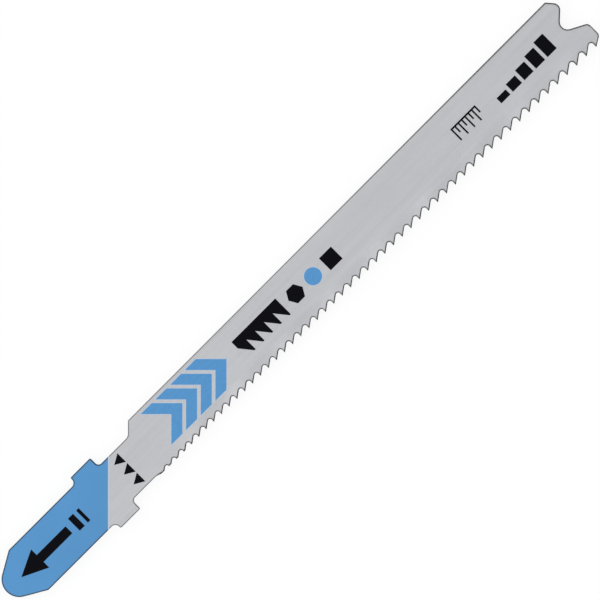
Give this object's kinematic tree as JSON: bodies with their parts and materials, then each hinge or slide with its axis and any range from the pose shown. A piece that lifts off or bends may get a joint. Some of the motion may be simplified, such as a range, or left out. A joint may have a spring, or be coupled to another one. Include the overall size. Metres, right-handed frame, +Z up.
{
  "type": "jigsaw blade",
  "caption": "Flat steel jigsaw blade for cutting metal, with a T-shank, fine wavy-set teeth of growing pitch and a notched front end.",
  "frame": {"origin": "on the shank's centreline, on the underside, in line with the front face of the shank's lugs", "axes": "+X along the blade from the shank to the front end, +Y across to the plain back edge, with the teeth on the -Y side, +Z up through the thickness. The blade lies flat."},
  "size_m": [0.0919, 0.0081, 0.0014],
  "materials": {
    "steel": "satin blasted high-speed steel",
    "shank_lacquer": "thin blue lacquer on the shank, part of the blade's own surface",
    "print": "thin printed ink in black and blue"
  },
  "bodies": {
    "root": {"blade": "steel"}
  },
  "joints": []
}
